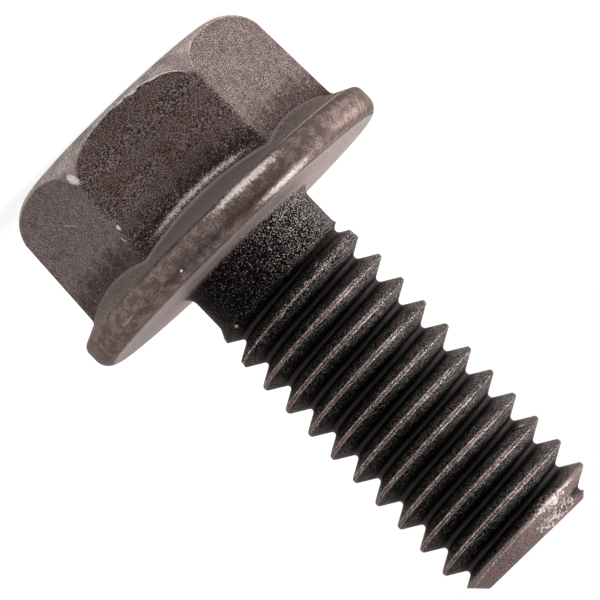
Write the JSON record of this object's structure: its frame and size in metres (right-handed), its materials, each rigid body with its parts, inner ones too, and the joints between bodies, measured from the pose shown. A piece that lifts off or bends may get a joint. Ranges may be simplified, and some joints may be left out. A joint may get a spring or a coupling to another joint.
{
  "type": "flange bolt",
  "caption": "Hexagon flange bolt: drafted hexagon head on a wide conical flange, plain neck, rolled coarse right-hand thread and chamfered point, in dark oxide-coated steel.",
  "frame": {"origin": "centre of the head's flat top, on which the bolt stands", "axes": "+Z along the shank, from the head to the point; two flats of the hexagon face -Y and +Y"},
  "size_m": [0.0166, 0.0166, 0.0264],
  "materials": {
    "coated_steel": "dark brown-black oxide coating on forged steel, worn lighter on corners and thread crests"
  },
  "bodies": {
    "root": {"flange_bolt": "coated_steel"}
  },
  "joints": []
}
